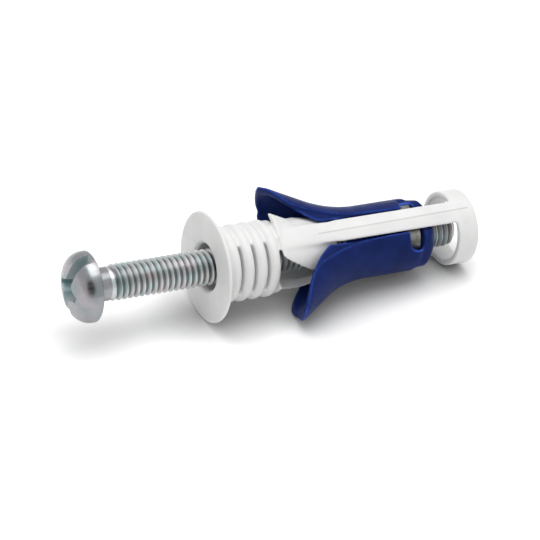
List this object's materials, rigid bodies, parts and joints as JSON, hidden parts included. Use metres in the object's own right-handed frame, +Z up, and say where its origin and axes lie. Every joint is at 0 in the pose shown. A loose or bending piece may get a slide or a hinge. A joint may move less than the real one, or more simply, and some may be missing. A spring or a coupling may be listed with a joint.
{
  "type": "wall plug with screw",
  "caption": "Hollow-wall anchor: ribbed white plug with barbed wings and arms, blue spreader with splayed legs, trapped nut and pan head machine screw.",
  "frame": {"origin": "on the floor under the middle of the anchor as it lies on its flange rim and end ring", "axes": "+X along the screw from its head to the end ring, +Z up from the floor"},
  "size_m": [0.0716, 0.0228, 0.0182],
  "materials": {
    "white_nylon": "satin",
    "blue_nylon": "satin",
    "zinc_nut": "zinc plated",
    "zinc_screw": "zinc plated"
  },
  "bodies": {
    "plug": {"plug_body": "white_nylon"},
    "screw": {"machine_screw": "zinc_screw"},
    "spreader_with_nut": {"spreader": "blue_nylon", "nut": "zinc_nut"}
  },
  "joints": [
    {"name": "screw_turn", "type": "hinge", "parent": "plug", "child": "screw", "pos_m": [-0.01187, 0.00025, 0.0091], "axis": [0.9981, 0, -0.0618], "range_deg": [-1262, 542]},
    {"name": "spreader_travel", "type": "slide", "parent": "plug", "child": "spreader_with_nut", "axis": [0.9981, 0, -0.0618], "range_m": [-0.0015, 0.0035]}
  ],
  "couplings": [
    {"joint": "screw_turn", "follows": "spreader_travel", "rad_per_m": -6283.2}
  ]
}
